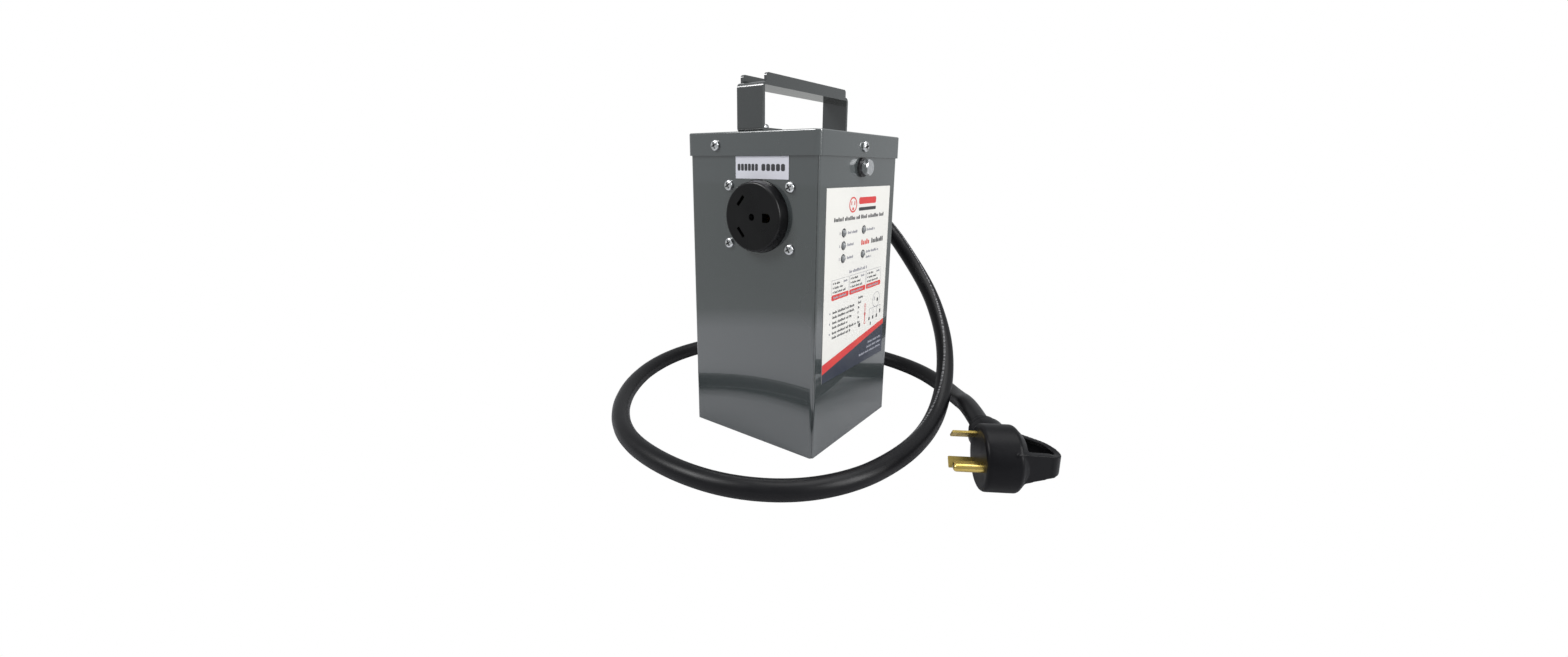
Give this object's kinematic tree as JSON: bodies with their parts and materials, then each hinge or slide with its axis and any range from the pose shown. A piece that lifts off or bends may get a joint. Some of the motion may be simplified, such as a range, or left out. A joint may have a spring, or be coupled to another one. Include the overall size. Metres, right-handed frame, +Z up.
{
  "type": "surge protector plug",
  "caption": "Steel protector box with a lid, carry handle, round travel trailer outlet, status lamps and a heavy supply cord ending in a plug with a loop handle.",
  "frame": {"origin": "centre of the box's flat underside, on the surface it stands on", "axes": "+Z up, -Y out of the outlet side, +X out of the label side, +Y out of the side the cord leaves"},
  "size_m": [0.4291, 0.3483, 0.296],
  "materials": {
    "enclosure_paint": "semi-gloss powder coat",
    "zinc": "bright zinc plate",
    "dark_steel": "dark plated",
    "frame_steel": "plain steel",
    "core_steel": "varnished laminations",
    "black_moulding": "satin moulding",
    "brass": "polished",
    "copper": "enamelled winding wire",
    "white_label": "printed vinyl",
    "lamp_lens": "clear lens, lamp off",
    "circuit_board": "solder mask",
    "pale_moulding": "moulding",
    "blue_coating": "epoxy coating",
    "green_moulding": "moulding",
    "cord_jacket": "satin jacket",
    "black_wire": "insulation",
    "green_wire": "insulation"
  },
  "bodies": {
    "box": {"base_pan": "enclosure_paint", "base_studs": "zinc", "board_screws": "zinc", "board_standoffs": "zinc", "boost_winding": "copper", "carry_handle": "enclosure_paint", "control_board": "circuit_board", "cord_tail": "cord_jacket", "core_bolts": "zinc", "core_frames": "frame_steel", "core_nuts": "zinc", "enclosure_shell": "enclosure_paint", "gland_body": "black_moulding", "gland_cap_nut": "black_moulding", "gland_locknut": "black_moulding", "gland_seal": "cord_jacket", "ground_bolt": "zinc", "ground_flat_washer": "dark_steel", "ground_nut": "zinc", "ground_ring_terminal": "brass", "ground_spring_washer": "zinc", "ground_wires": "green_wire", "handle_nuts": "zinc", "handle_screws": "zinc", "lamp_board": "circuit_board", "lid": "enclosure_paint", "lid_screws": "zinc", "main_winding": "copper", "outlet_blade_contacts": "brass", "outlet_centre_screw": "zinc", "outlet_face": "black_moulding", "outlet_ground_contact": "brass", "outlet_mounting_nuts": "zinc", "outlet_mounting_screws": "zinc", "outlet_rear_housing": "black_moulding", "outlet_terminal_screws": "zinc", "outlet_yoke": "frame_steel", "output_label": "white_label", "plug_blades": "brass", "plug_body": "cord_jacket", "plug_ground_pin": "brass", "plug_strain_relief": "cord_jacket", "power_cord": "cord_jacket", "power_wires": "black_wire", "relay_base": "black_moulding", "relay_bobbin": "pale_moulding", "relay_coil": "copper", "relay_core_pin": "frame_steel", "relay_cover": "blue_coating", "relay_fixed_contact": "brass", "relay_return_spring": "brass", "relay_yoke": "frame_steel", "status_label": "white_label", "status_lamps": "lamp_lens", "surge_varistors": "blue_coating", "terminal_block": "green_moulding", "thermal_fuse": "pale_moulding", "transformer_core": "core_steel", "winding_bobbin": "pale_moulding"},
    "armature": {"relay_armature": "frame_steel"}
  },
  "joints": [
    {"name": "relay_armature_hinge", "type": "hinge", "parent": "box", "child": "armature", "pos_m": [-0.02925, 0.001, 0.15], "axis": [0, 0, 1], "range_deg": [0, 5], "stiffness_Nm_per_rad": 0.01, "springref_deg": -9.74}
  ]
}
